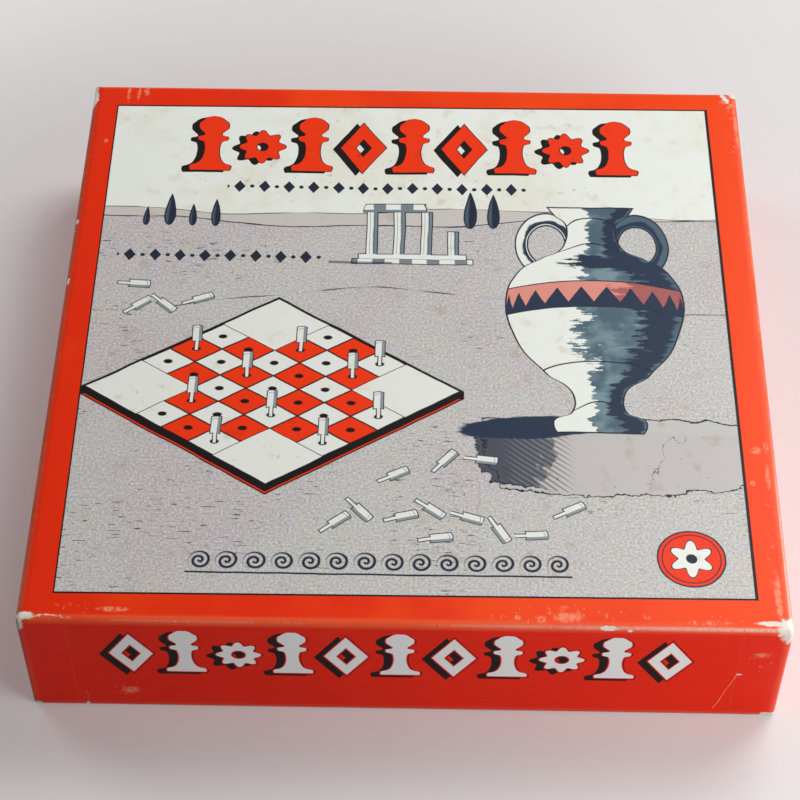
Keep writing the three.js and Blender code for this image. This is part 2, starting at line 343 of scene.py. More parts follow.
# A jar's radius along its height, as shares of its greatest radius and height
JAR_SHARES = [
    (0, 0.46), (0.04, 0.5), (0.08, 0.3), (0.13, 0.26), (0.24, 0.56), (0.42, 0.92), (0.56, 1),
    (0.68, 0.88), (0.76, 0.58), (0.82, 0.32), (0.9, 0.28), (0.96, 0.42), (1, 0.5),
]
JAR = {"x": 57, "y": -39, "radius": 27.5, "height": 92}
# Heights on the jar of its painted band, its ears and its thin rings, as shares of its own
BAND_SHARE, EAR_SHARE, RING_SHARES = 0.6, 0.82, (0.13, 0.83, 0.3, 0.95)
EAR_RADIUS = 7.9
# Lines of the ground: height, then waves as a rate along x, a start and a rise
FAR_RIDGE = (50, (0.045, 0.4, 1.5), (0.13, 0, 0.5))
NEAR_RIDGE = (45.5, (0.034, -0.9, 2.4), (0.11, 0, -0.7))
DUNE = (12, (0.036, 1.9, 5), (0.13, 0, -0.6))
TREES = {"pitch": 7.4, "least": 7, "spread": 11, "sunk": 2.5, "slim": 0.34}
GROVES = [(-74, 17), (23, 7)]
COLONNADE = {"x": -4, "pitch": 8.6, "foot": 30, "top": 50, "fallen": 8, "half": 1.75}
# The drawn board's middle, half a square each way and its edge's height, and its reach in squares
DIAGRAM_X, DIAGRAM_Y, CELL_X, CELL_Y, DIAGRAM_THICK = -41, -24, 8, 5.1, 3
SQUARES_REACH, EDGE_REACH = 3.5, 3.6
# Drawn pegs: where they stand on it, as columns and rows, and where they lie and how they turn
PEG_LENGTH = 9.6
STANDING = [(0, 3), (-2, 1), (2, 1), (0, 1), (-1, -1), (3, -1), (2, -1), (1, -3), (-1, -3), (-3, -1)]
LYING = [
    (-8, -58, 1.1), (3, -65, 2.2), (8, -54, 0.7), (13, -69, 1.9), (-6, -72, 1.3), (24, -71, 2.6),
    (4, -79, 1.4), (31, -77, 1.5), (-17, -65, 2.4), (-88, 6, 0.9), (-80, 13, 2.3), (-91, 18, 1.6),
    (-70, 10, 1.2), (17, -49, 1.7), (-24, -76, 0.9), (43, -70, 1.1),
]
MEDALLION_X, MEDALLION_Y = 81, -84
# Lines of small ornament: left end, right end, height and size
SCROLL_LINE = (-62, 47.2, -87, 5.2)
BEAD_LINES = [(-60, 36.5, 60.6, 4.2), (-93, -28.4, 30, 4.2)]


def ornament_row(x, y, row):
    """The distance from a row of skittles with rosettes and lozenges between them."""
    half, height = row["half"], row["height"]
    place = (x - row["x"]) / row["pitch"] + row["count"] / 2
    number = place.floor()
    across = (place - number - 0.5) * row["pitch"]
    up = y - row["y"]
    middle = up - height * ORNAMENT_MIDDLE_SHARE
    share = up / height
    curve = share.node("FloatCurve", {"Factor": 1, "Value": share}, curve=SKITTLE_SHARES)
    skittle = (abs(across) - curve * half).most(-up).most(up - height)
    radius = length(across, middle)
    rosette = radius - petals(across, middle, 8) * (0.13 * half) - 0.84 * half
    rosette = rosette.most(0.26 * half - radius)
    slope = abs(across) * 0.84 + abs(middle) * 0.54
    lozenge = (slope - 0.8 * half).most(0.3 * half - slope)
    from_middle = abs(number - (row["count"] - 1) / 2)
    odd = (from_middle % 2).above(0.5)
    outer = (from_middle % 4).above(1.5)
    distance = between(skittle, odd, between(lozenge, outer, rosette))
    return distance.most(abs(x - row["x"]) - row["pitch"] * row["count"] / 2)


def outlined_row(x, y, row):
    """The distance from a row of ornaments with its black outline and its shadow, and from the row alone."""
    shadow = ornament_row(x - SHADOW_X, y - SHADOW_Y, row)
    plain = ornament_row(x, y, row)
    return (shadow - OUTLINE).least(plain - OUTLINE), plain


def wavy_line(x, y, height, *waves):
    """How far a place lies above a line that swells in sine waves."""
    above = y - height
    for rate, start, rise in waves:
        above = above - (x * rate + start).sine() * rise
    return above


# Each of these draws one thing, as coats of ink: a mask and its ink at a time


def draw_land(place, x, y):
    """Pale sky over two ridges of grained ground, with ink lines along them and dashes on the ground."""
    grain = noise(place, 1.35, 3, 0.75)
    clouds = noise(place, 0.022, 2)
    far, near, dune = (wavy_line(x, y, *shape) for shape in (FAR_RIDGE, NEAR_RIDGE, DUNE))
    line = noise(place, 0.09, 1) * 1.2 - 0.22
    ground = paint(GROUND, (clouds + y * 0.0012 - x * 0.0008).ramp(0.42, 0.62), GROUND_MAUVE)
    mottle = noise(place, 0.13, 4, 0.65)
    ground = paint(ground, mottle.ramp(0.47, 0.68) * 0.5, GROUND_STAIN)
    ground = paint(ground, grain.ramp(0.5, 0.62) * 0.85, GROUND_GRAIN)
    ground = paint(ground, grain.ramp(0.49, 0.36) * 0.8, GROUND_DARK)
    yield (clouds * 0.5 + mottle * 0.5).ramp(0.46, 0.62) * 0.75, CREAM_AGED
    yield far.inside(), FAR_GROUND
    yield near.inside(), ground
    yield (abs(far) - line * 0.36).inside(), NAVY
    yield (abs(near) - line * 0.55).inside(), NAVY
    yield (abs(dune) - line * 0.8 + 0.22).inside() * 0.8, NAVY
    dashes = noise(vector(x * 0.2, y * 1.5), 1, 1).ramp(0.66, 0.7)
    patches = noise(place, 0.03, 1).ramp(0.5, 0.58)
    yield dashes * patches * near.ramp(-2, -8) * 0.8, NAVY


def draw_trees(x, y):
    """Slim pointed trees in two groups along the near ridge, each of its own height."""
    pitch = TREES["pitch"]
    number = (x / pitch).floor()
    across = x - (number + 0.5) * pitch
    luck = number.node("TexWhiteNoise", {"W": number}, noise_dimensions="1D")
    height = luck * TREES["spread"] + TREES["least"]
    rise = (y - NEAR_RIDGE[0] + TREES["sunk"]) / height
    width = rise.most(0).root() * (1 - rise).most(0) * height * TREES["slim"]
    tree = (abs(across) - width).most((rise - 0.97) * height).most(-rise * height)
    stands = number * pitch + pitch / 2
    left, right = (abs(stands - middle) - half for middle, half in GROVES)
    mask = tree.inside() * left.least(right).below(0)
    lit = (across + width * 0.25).inside(0.5)
    yield mask, NAVY
    yield (tree + 0.5).inside() * lit * mask * 0.8, WASH


def draw_colonnade(x, y, rough):
    """Four old columns on two steps under a broken beam, in the middle distance."""
    pitch = COLONNADE["pitch"]
    number = (x / pitch + 0.5).floor()
    across = x - number * pitch
    from_middle = x - pitch / 2
    top = COLONNADE["top"] - number.above(1.5) * COLONNADE["fallen"] + rough * 3
    columns = (abs(across) - COLONNADE["half"]).most(COLONNADE["foot"] - y).most(y - top)
    columns = columns.most(abs(from_middle) - pitch * 2)
    beam = block(x + 1.6, 9.6 - rough * 7, y - 51.6, 1.9)
    steps = block(from_middle, 17, y - 30.6, 1.1).least(block(from_middle, 19, y - 28.6, 1.1))
    shape = columns.least(beam).least(steps)
    yield shape.inside(), CREAM
    shaded = (0.3 - across + rough).inside(0.3).most(beam.inside() * (50.9 - y).ramp(-0.1, 0.1))
    shaded = shaded * (y - 31.6).above(0).most(steps.inside() * (29.6 - y).ramp(-0.05, 0.05))
    yield shape.inside() * shaded * 0.85, WASH
    flutes = (abs(abs(across) - 0.7) - 0.1).inside() * columns.inside() * (y - 31.7).above(0)
    yield flutes * 0.6, NAVY
    yield block(x + 12, 10, y - 27.3 + (x - 20) * 0.02, 0.5).inside(0.4) * 0.7, NAVY
    yield shape.stroke(OUTLINE), NAVY


def draw_rock(x, y, rough):
    """A ledge of rock for the jar to stand on, with a crumbling edge and dark hatching under it."""
    top = y + 34.5 - (x * 0.11).sine() * 0.6 - rough * 5
    edge = 25 - x + rough * 15 - (y + 50) * 0.18
    low = -61 - y + rough * 9 + (x * 0.08).sine() * 1.6
    rock = top.most(edge).most(low)
    cave = (y + 40 - rough * 9).most(22.5 - x + rough * 24).most(low + 1.4)
    hatch = ((x + y * 1.25) * 2.5).sine() - (x - 44) * 0.1
    yield rock.inside(), GROUND
    yield rock.inside() * (top + 5 + rough * 6).inside(0.6) * 0.5, GROUND_MAUVE
    yield cave.inside(0.5) * (x - 40 - rough * 30).inside(1.5), SLATE
    yield cave.inside(0.5) * hatch.ramp(0.35, 0.75) * 0.6, NAVY
    yield (abs(cave) - 0.2).inside() * (x - 40).inside(8), NAVY
    yield block(x - 74 - rough * 26 - (y + 50) * 0.5, 0.13, y + 49, 9).inside(), NAVY
    yield rock.stroke(OUTLINE * 1.4), NAVY


def draw_jar(place, x, y, rough):
    """A tall two-handled jar in washes of slate blue, lit from the left, with a banded shoulder."""
    across, up, tall = x - JAR["x"], y - JAR["y"], JAR["height"]
    share = up / tall
    half = share.node("FloatCurve", {"Factor": 1, "Value": share}, curve=JAR_SHARES) * JAR["radius"]
    body = (abs(across) - half).most(-up).most(up - tall)
    feathers = noise(vector(x * 0.1, y * 0.55), 1, 4, 0.62) - 0.5
    pool = noise(place, 0.09, 3) - 0.5
    cast = length((across + 21) * 0.2, up - 1.6 - (across + 21) * 0.05) - 4.2 - feathers * 2
    yield cast.inside(0.4), DEEP_WASH
    ear = length(abs(across) - 0.52 * JAR["radius"], (up - EAR_SHARE * tall) * 0.72) - EAR_RADIUS
    ears = abs(ear) - 1.9
    ear_light = (across + abs(across) * 0.2).ramp(-12, 12)
    yield ears.inside(), paint(CREAM, ear_light, WASH)
    yield (ears + 0.5).inside() * (ear + pool * 5).inside(0.5), DEEP_WASH
    yield ears.stroke(OUTLINE * 1.4), NAVY
    inside = body.inside()
    turn = across / (half + 0.01)
    bowed = up + turn * turn * 4
    tone = turn + feathers * 1.1 + rough * 0.8
    wash = paint(WASH, (pool + 0.5).ramp(0.42, 0.62), WASH_PALE)
    yield inside, CREAM
    yield inside * tone.ramp(-0.16, -0.13), wash
    yield inside * (tone - pool * 0.7).ramp(0.18, 0.34) * 0.55, WASH
    deep = (tone + pool * 0.5).ramp(0.46, 0.54) * (turn + feathers * 0.4).ramp(0.98, 0.9)
    yield inside * deep, DEEP_WASH
    neck = (abs(up - 0.745 * tall + turn * 2) - 2.6 + feathers * 7) * 0.5
    yield inside * neck.inside(0.4) * tone.ramp(-0.5, -0.4), DEEP_WASH
    from_band = bowed - BAND_SHARE * tall
    band = abs(from_band) - 5.4
    angle = turn.most(-1).least(1).arcsine() * 3.4
    zigzag = abs((angle % 1) - 0.5) * 12.5 + from_band - 3
    yield inside * band.inside(), paint(SALMON, tone.ramp(0.25, 0.35), SALMON_DEEP)
    yield inside * band.inside() * zigzag.inside(), DEEP_WASH
    yield inside * band.stroke(0.45), NAVY
    for ring_share in RING_SHARES:
        yield inside * (bowed - ring_share * tall).stroke(0.48), NAVY
    yield body.stroke(OUTLINE * 1.6), NAVY


def draw_diagram(x, y):
    """The board's cross of squares as a flat drawing turned on its corner, with its thick black edge."""
    right, back = (x - DIAGRAM_X) / CELL_X, (y - DIAGRAM_Y) / CELL_Y
    u, v = (right + back) * 0.5, (back - right) * 0.5
    reach = abs(u).most(abs(v))
    drop = DIAGRAM_THICK / CELL_Y
    edge = (back.most(-back - drop) + abs(right)) * 0.5
    whole = edge.most(abs(right) - EDGE_REACH) - EDGE_REACH
    yield whole.inside(0.03), BLACK
    yield (whole + 0.08).stroke(0.05, 0.02) * back.below(-drop) * reach.above(EDGE_REACH), CHECK_ORANGE
    squares, column, row, cross = chequered(u, v, 0.06, 0.03)
    hole = length(right - (column - row), back - (column + row)) - 0.17
    squares = paint(squares, hole.inside(0.05) * cross, BLACK)
    yield (reach - SQUARES_REACH).inside(0.03), squares


def draw_pegs(x, y):
    """Turned pegs in outline with a shaded side, standing on the diagram or lying about. Each place on the
    paper belongs to the nearest peg, so one figure draws them all."""
    standing = [
        (DIAGRAM_X + (column - row) * CELL_X, DIAGRAM_Y + (column + row) * CELL_Y, 0)
        for column, row in STANDING
    ]
    across, along, nearest_yet = None, None, None
    for foot_x, foot_y, turn in standing + LYING:
        sine, cosine = np.sin(turn), np.cos(turn)
        own_across = x.times_plus(cosine, y.times_plus(-sine, foot_y * sine - foot_x * cosine))
        own_along = x.times_plus(sine, y.times_plus(cosine, -foot_y * cosine - foot_x * sine))
        away = abs(own_across).most(abs(own_along - PEG_LENGTH / 2) - 2)
        if across is None:
            across, along, nearest_yet = own_across, own_along, away
            continue
        nearer = away.below(nearest_yet)
        across = nearer.choose(across, own_across)
        along = nearer.choose(along, own_along)
        nearest_yet = away.least(nearest_yet)
    bowed = across * across
    peg = block(across, 0.6, along - 1.5, 2.1).least(block(across, 1.5, along - 6.4 + bowed * 0.12, 3.2))
    yield (peg - 0.17).inside(), NAVY
    yield (peg + 0.15).inside(), CHECK_WHITE
    shaded = (0.5 - across).inside(0.2).most((along - 8.7 + bowed * 0.3).stroke(0.2))
    yield (peg + 0.15).inside() * shaded * 0.75, WASH


def draw_running_scroll(x, y, left, right, base, size):
    """A running scroll, the old border of joined waves, over a rule, in navy ink."""
    pitch = size * 1.5
    across = (x - left) % pitch - pitch * 0.5
    up = y - base
    radius = length(across, up)
    coil = size * 0.34
    spiral = abs((radius / coil - up.arctangent(across) / (2 * np.pi)) % 1 - 0.5) - 0.24
    wave = (spiral * coil).most(radius - size * 0.62)
    rule = (up + size * 0.78).stroke(0.6)
    yield wave.inside(0.3).most(rule) * (left - x).most(x - right).inside(), NAVY


def draw_bead_line(x, y, left, right, base, size):
    """A line of small lozenges and dots, in navy ink."""
    pitch = size * 1.9
    across = abs((x - left) % pitch - pitch * 0.5)
    up = y - base
    lozenge = across * 1.1 + abs(up) * 0.8 - size * 0.5
    dot = length(across - pitch * 0.5, up) - size * 0.17
    yield lozenge.least(dot).inside() * (left - x).most(x - right).inside(), NAVY


def draw_medallion(across, up):
    """A small orange rosette in a double ring, in a corner of the picture."""
    radius = length(across, up)
    flower = radius - petals(across, up, 6) * 1.3 - 5.2
    yield (radius - 9.6).inside(), CHECK_ORANGE
    yield (radius - 9.6).stroke(0.5).most((radius - 8.3).stroke(0.35)), NAVY
    yield flower.inside(), CREAM
    yield flower.stroke(0.4).most((radius - 1.6).inside()), NAVY


def draw_picture(place, x, y):
    """The whole picture inside the frame line. Its x and y drift a little, as a hand-drawn line wanders."""
    drift_x, drift_y, _ = noise(place, 0.06, 3, out="Color").parts()
    x, y = x + (drift_x - 0.5) * WANDER, y + (drift_y - 0.5) * WANDER
    rough = noise(place, 0.11, 4, 0.6) - 0.5
    colour = CREAM
    for coats in (
        draw_land(place, x, y),
        draw_trees(x, y),
        draw_colonnade(x - COLONNADE["x"], y, rough),
        draw_rock(x, y, rough),
        draw_jar(place, x, y, rough),
        draw_diagram(x, y),
        draw_pegs(x, y),
        draw_running_scroll(x, y, *SCROLL_LINE),
        *(draw_bead_line(x, y, *line) for line in BEAD_LINES),
        draw_medallion(x - MEDALLION_X, y - MEDALLION_Y),
    ):
        for mask, ink in coats:
            colour = paint(colour, mask, ink)
    outlined, plain = outlined_row(x, y, PANEL_ROW)
    return paint(paint(colour, outlined.inside(), BLACK), plain.inside(), CHECK_ORANGE)


# Wear of the lid, in millimetres: where the print is torn to white paper, scraped thin or flecked with pale
# spots, as x, y and z and how far each mark reaches along them
TORN = [
    (-107.9, -107.6, 42.4, 2.6, 2.6, 4.4), (-105.6, -106.4, 44.4, 3.2, 1.5, 1.4),
    (107.4, -107.2, 43, 4.6, 4, 4.8), (102.2, -105.5, 44.4, 5.6, 0.8, 1.4),
    (57.4, -107.6, 43.8, 3.2, 0.9, 0.8), (62.8, -108, 43.1, 1, 0.8, 0.6),
    (-107.6, 102.4, 44.2, 1.6, 6.4, 1.8), (-105.6, 107.8, 44, 3.6, 1, 1.6),
    (106.8, 106.6, 44, 2, 1.6, 1.6), (103.2, 106.2, 44.3, 0.8, 1.2, 1),
    (103.9, 104.9, 44.4, 0.8, 1.3, 1), (104.7, 103.5, 44.4, 0.7, 1.2, 1),
    (-107.5, 44.4, 44.3, 0.9, 1.4, 0.9), (-107.4, 18.5, 44.3, 0.9, 2, 0.9),
    (95.2, -108, 22, 1.1, 1, 0.42), (106, -107.8, 1, 2.6, 1.4, 1.1),
    (-107, -107.8, 0.8, 1.9, 1.4, 1), (-91.9, -108, 0.9, 0.7, 0.8, 1),
    (107.2, 107.2, 1.2, 2.8, 2.8, 2.6), (-107.2, 107.4, 1.2, 2.2, 2.4, 2),
    (-61, 108, 0.8, 3.4, 1, 0.9), (108, -31, 0.7, 1, 2.2, 0.8),
]
SCRAPED = [
    (-96, 103.2, 44.4, 0.7, 4.2, 2), (-92.8, 104, 44.4, 0.7, 3.6, 2),
    (-90.2, 105, 44.4, 1.1, 2.8, 2), (-101.6, 81, 44.4, 0.8, 1.1, 2),
    (104.4, -97, 44.4, 1.1, 9, 2), (-81, -104, 44.4, 5, 0.9, 2),
    (38.3, -105.2, 44.4, 1.6, 1.2, 2), (45.4, -104.4, 44.4, 4.4, 1.8, 2),
    (44.3, -101.4, 44.4, 1.6, 1, 2), (31.6, -104.8, 44.4, 1, 1, 2),
    (83.6, -105.5, 44.4, 7.4, 0.8, 2), (67.6, -103.8, 44.4, 1.2, 1, 2),
    (106.7, 92, 44.4, 0.7, 11, 2), (105, 102.6, 44.4, 3, 3, 2),
    (102.2, -44.8, 44.4, 1.7, 1.4, 2), (105.3, -44, 44.4, 0.9, 2.8, 2),
    (105, -54.4, 44.4, 0.8, 5, 2), (100.4, -57, 44.4, 0.9, 1.1, 2),
    (100.6, -108, 32.2, 2.2, 1, 1.3), (-78.5, -108, 8.6, 3, 1, 1.8),
]
FLECKED = [
    (44, -103.4, 44.4, 24, 4.6, 2), (86, -104.8, 44.4, 14, 2.4, 2),
    (-92, -104.6, 44.4, 10, 2.8, 2), (104.6, -80, 44.4, 2.6, 26, 3),
    (104.4, 88, 44.4, 2, 18, 3), (100, -108, 30, 6, 1, 8),
    (-80, -108, 10, 12, 1, 8), (-16, 106.6, 44.4, 10, 1.4, 2),
    (108, -36, 17, 1, 30, 9), (-108, 24, 27, 1, 34, 8),
    (38, 108, 15, 38, 1, 10),
]
BOX_HALF, BOX_TOP = 107.95, 44.45
# How deep under an edge its wear spreads from, and how near a face still counts as on it
RIDGE, SKIN = 0.65, 0.6


def nearest(place, marks):
    """The distance from the nearest mark, 1 at the edge of its reach."""
    closest = None
    for mark in marks:
        centre, share = np.array(mark[:3]), 1 / np.array(mark[3:])
        scaled = {0: place, 1: share.tolist(), 2: (-share * centre).tolist()}
        local = place.node("VectorMath", scaled, operation="MULTIPLY_ADD")
        away = place.node("VectorMath", {0: local}, out="Value", operation="LENGTH")
        closest = away if closest is None else closest.least(away)
    return closest


def worn_masks(place, x, y, z):
    """How far the lid's print is torn, chipped off, flecked, rubbed pale with a painted sheen along its fold's
    ridge, and lit by a painted highlight on the front fold, from 0 to 1 each, and the coarse and the fine
    noise that break them up."""
    rough = noise(place, 0.35, 4, 0.65) - 0.5
    fine = noise(place, 1.3, 3, 0.6) - 0.5
    torn = (nearest(place, TORN) - 0.86 + rough * 1.3 + fine * 0.6).inside(0.22)
    specks = noise(vector(x, y * 0.6, z * 0.6), 0.85, 2, 0.6)
    flecks = specks.ramp(0.6, 0.7) * nearest(place, FLECKED).ramp(1.1, 0.4) * 0.6
    scraped = nearest(place, SCRAPED).ramp(1.2, 0.5)
    flecks = flecks.most(scraped * (specks + rough * 0.6).ramp(0.36, 0.6) * 0.9)
    side = abs(x).most(abs(y))
    fold = length(side - BOX_HALF + RIDGE, z - BOX_TOP + RIDGE)
    upright = length(abs(x) - BOX_HALF + RIDGE, abs(y) - BOX_HALF + RIDGE)
    edge = fold.least(upright).least((z - 0.5).most(BOX_HALF - SKIN - side) + 0.3)
    patchy = noise(place, 0.05, 1) - 0.5
    handled = (x * 0.7 - y * 0.7).ramp(-130, 110) * 0.8 + 0.2
    chipped = (edge * 0.5 + 0.62 - rough * 2.4 - fine * 1.3 - patchy * 1.2).inside(0.14) * edge.ramp(2, 0.8)
    # Along the fold's ridge: a painted sheen, with some rubbing, stronger where the lid is handled
    fold_sheen_and_rub = fold.ramp(0.75, 0.15) * (patchy * 1.4 + fine * 0.5 + 0.5).ramp(0.2, 0.45) * handled
    paled = edge.ramp(2.3, 0.4) * ((rough + patchy) * 0.5 + 0.7) * (handled * 0.5)
    # The step where the tabs end under the paper
    tab = (abs(abs(x) - BOX_HALF + TAB_WIDTH / MM) - 0.15 + rough * 0.5).inside(0.5)
    tab = tab * abs(y).above(BOX_HALF - SKIN)
    # Paled by rubbed edges, by the tab steps and by the painted sheen along the fold's ridge
    paled = paled.most(fold_sheen_and_rub * 0.8).most(tab * (rough + 0.5).ramp(0.35, 0.6) * 0.3)
    paled = paled.most(scraped * (rough + 0.5).ramp(0.3, 0.7) * 0.2)
    # A crease and a crack in the front wall, and a split along the front fold's left end
    crease = (x - 89.6 - (z - 3.2) * 0.265 + rough * 1.4).stroke(0.32) * (z - 12.4).stroke(18)
    crack = (x + 91.7 + rough * 2.4).stroke(0.24) * (z - 4.6).stroke(6.8) * 0.6
    split = abs(y + 106.5 - (x * 0.43).sine() * 0.35 - rough * 3) - 0.2
    split = split.most(x + 92.6).most(-108 - x).most(43 - z)
    torn = torn.most(split.inside(0.2) * (fine + rough + 0.5).ramp(0.38, 0.5))
    flecks = flecks.most((crease + crack) * y.below(-BOX_HALF + SKIN) * (fine + 0.5).ramp(0.3, 0.5))
    # A painted highlight along the right part of the front fold, stronger towards its corner
    painted_fold_highlight = fold.ramp(1, 0.1) * (x - y).ramp(110, 216) * (fine + 0.5).ramp(0.15, 0.6)
    return torn, chipped, flecks, paled, painted_fold_highlight, rough, fine


def lid_print(place, x, y, z, panel):
    """The lid's paper: on the panel the picture and the border round it, and on the walls a redder copy of the
    border's red, painted for their dimmer light, with a row of white ornaments on the front. All of it is worn
    at its folds, where a sheen and a highlight are painted too."""
    fibres = noise(place, 2.2, 4, 0.7)
    clouds = noise(place, 0.02, 3, 0.6)
    # The walls take a redder copy of the border's ink, painted for their dimmer light. Either ink mixes its two
    # tones at random and turns warmer towards the right: painted light, brighter on the side the light comes
    # from.
    inks = (ORANGE_RED, ORANGE_WARM) if panel else (WALL_RED_DEEP, WALL_RED)
    colour = paint(inks[0], (clouds + x * 0.0018).ramp(0.35, 0.65), inks[1])
    if panel:
        across, up = x + y * ASKEW - PICTURE_X, y - x * ASKEW - PICTURE_Y
        outer = block(across, PICTURE_HALF_X, up, PICTURE_HALF_Y)
        inner = block(across + FRAME_UNEVEN, PICTURE_HALF_X - FRAME_SIDES, up, PICTURE_HALF_Y - FRAME_ENDS)
        foxed = noise(place, 0.16, 3, 0.6).ramp(0.56, 0.74)
        picture = draw_picture(place, x, y)
        picture = stain(picture, foxed * clouds.ramp(0.3, 0.6) * 0.42, FOXING)
        spots = noise(place, 0.55, 2).ramp(0.7, 0.76) * clouds.ramp(0.42, 0.6)
        picture = stain(picture, spots * 0.5, DIRT_AND_SHADE)
        colour = paint(colour, outer.inside(), BLACK)
        colour = paint(colour, inner.inside(), picture)
    else:
        streaks = noise(vector(x * 0.04, y * 0.04, z * 0.9), 1, 3)
        # Up the fold the walls' red turns to the border's warm orange: painted light, the fold lighter as it
        # turns up towards the light
        colour = paint(colour, (z - BOX_TOP + 2).ramp(-0.8, 1.6), ORANGE_WARM)
        colour = stain(colour, streaks.ramp(0.45, 0.7) * 0.3, SCUFF_AND_SHEEN_PINK)
        outlined, plain = outlined_row(x, z, WALL_ROW)
        front = y.below(-BOX_HALF + 1)
        colour = paint(colour, outlined.inside() * front, BLACK)
        colour = paint(colour, (plain - 0.02).inside() * front, WALL_RED)
        colour = paint(colour, (plain + OUTLINE).inside() * front, WALL_WHITE)
    torn, chipped, flecks, paled, painted_fold_highlight, rough, fine = worn_masks(place, x, y, z)
    # Darker along the top of the left wall: grime, and painted shade that damps the light that fold catches
    darkened = (x + BOX_HALF).ramp(3.5, 0.5) * (z - BOX_TOP).ramp(-6, -1) * (rough + 0.5).ramp(0.2, 0.5)
    colour = stain(colour, darkened * 0.75, DIRT_AND_SHADE)
    # The pale pink of rubbing, and the painted sheen along the fold's ridge
    colour = paint(colour, paled * 0.7, SCUFF_AND_SHEEN_PINK)
    # The painted highlight on the front fold
    colour = paint(colour, painted_fold_highlight * 0.5, TORN_PAPER_AND_HIGHLIGHT)
    colour = stain(colour, fibres.ramp(0.4, 0.25) * 0.25, DIRT_AND_SHADE)
    colour = paint(colour, flecks * 0.8, SCUFF_AND_SHEEN_PINK)
    colour = paint(colour, chipped * 0.9, TORN_PAPER_AND_HIGHLIGHT)
    colour = paint(colour, torn, stain(TORN_PAPER_AND_HIGHLIGHT, (fine + 0.5).ramp(0.5, 0.8) * 0.35, DIRT_AND_SHADE))
    bare = torn.most(chipped)
    roughness = between(0.36, bare, 0.85) + (fibres - 0.5) * 0.14 + (paled + flecks) * 0.1
    height = fibres * 0.05 - bare * 0.6 - flecks * 0.2 - paled * rough * 0.4
    return colour, roughness, height, 0.12, ("Specular IOR Level", 0.12)


def pressed_board(place, *_):
    """Grey pressed board with pale and dark fibres and flecks."""
    clouds = noise(place, 0.05, 3)
    fibres = noise(place, 1.4, 5, 0.75)
    flecks = noise(place, 0.9, 1)
    colour = paint(CHIPBOARD_GREY, fibres.ramp(0.45, 0.7), CHIPBOARD_PALE)
    colour = paint(colour, clouds.ramp(0.5, 0.75) * 0.4, CHIPBOARD_DARK)
    colour = paint(colour, flecks.ramp(0.7, 0.74) * 0.6, CHIPBOARD_DARK)
    return colour, 0.88 + (fibres - 0.5) * 0.1, fibres, 0.12


def kraft_tape(place, x, y, z):
    """Brown gummed tape with long fibres."""
    streaks = noise(vector(x, y, z * 0.15), 0.9, 4, 0.7)
    colour = paint(KRAFT, streaks.ramp(0.4, 0.7), KRAFT_DARK)
    return colour, 0.6 + (streaks - 0.5) * 0.2, streaks, 0.05


def tray_print(place, x, y, z):
    """Plain orange-red paper, rubbed pale along the rim, the folds and the upright corners."""
    clouds = noise(place, 0.03, 3)
    rough = noise(place, 0.4, 4, 0.65) - 0.5
    fibres = noise(place, 2.2, 4, 0.7)
    half, _, rim = (TRAY_HIGH / MM).tolist()
    upright = length(abs(x) - half + RIDGE, abs(y) - half + RIDGE)
    edge = (rim - z).most(0).least(upright)
    paled = edge.ramp(2.6, 0.1) * (rough + 0.5).ramp(0.4, 0.7)
    chipped = (edge * 0.5 - rough * 2.4 + 0.35).inside(0.2)
    colour = paint(ORANGE_WARM, clouds.ramp(0.4, 0.7) * 0.3, ORANGE_RED)
    colour = paint(colour, paled * 0.55, SCUFF_AND_SHEEN_PINK)
    colour = paint(colour, chipped, TORN_PAPER_AND_HIGHLIGHT)
    height = fibres * 0.1 - chipped * 0.5
    return colour, between(0.45, chipped, 0.85), height, 0.1


def leaflet_print(place, x, y, z):
    """Uncoated cream paper, browned at the edges, with the cross of holes printed on it as a plain figure."""
    column, row = (x / LEAFLET_PITCH + 0.5).floor(), (y / LEAFLET_PITCH + 0.5).floor()
    spot = length(x - column * LEAFLET_PITCH, y - row * LEAFLET_PITCH)
    cross = abs(column).least(abs(row)).below(1.5) * abs(column).most(abs(row)).below(SQUARES_REACH)
    dots = (spot - 1.5).stroke(0.4) * cross
    fibres = noise(place, 1.8, 4, 0.7)
    half_x, half_y = (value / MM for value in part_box("rules_leaflet")[1][:2])
    margin = (half_x - abs(x)).least(half_y - abs(y))
    browned = (margin + noise(place, 0.1, 3) * 8).ramp(12, 2)
    frame_line = (margin - 7).stroke(0.5)
    colour = paint(LEAFLET_CREAM, fibres.ramp(0.4, 0.75) * 0.3, CREAM)
    colour = stain(colour, browned * 0.6, FOXING)
    colour = paint(colour, dots.most(frame_line) * 0.85, NAVY)
    return colour, 0.85 + (fibres - 0.5) * 0.1, fibres, 0.04


def board_wood(place, x, y, z):
    """Black-stained wood, worn through to its grain at the edges, with a red line round the edge."""
    rings = noise(vector(x * 0.03, y, z * 2), 0.7, 4, 0.6)
    (_, _, low), (half, _, high) = (np.array(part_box("board_core")) / MM).tolist()
    side, level = abs(x).most(abs(y)), abs(z - (low + high) / 2)
    red_line = (level - 0.6).inside(0.2) * side.above(half - 0.3)
    edge = length(side - half, level - (high - low) / 2)
    patchy = noise(place, 0.06, 3, 0.6)
    worn = (edge - 0.1 - rings * 0.8).inside(0.4) * patchy.ramp(0.45, 0.6)
    colour = paint(STAINED_BLACK, rings.ramp(0.5, 0.75) * 0.5, STAINED_BROWN)
    colour = paint(colour, red_line, EDGE_RED)
    colour = paint(colour, worn * 0.7, BARE_EDGE)
    return colour, 0.5 + (rings - 0.5) * 0.3, rings, 0.08


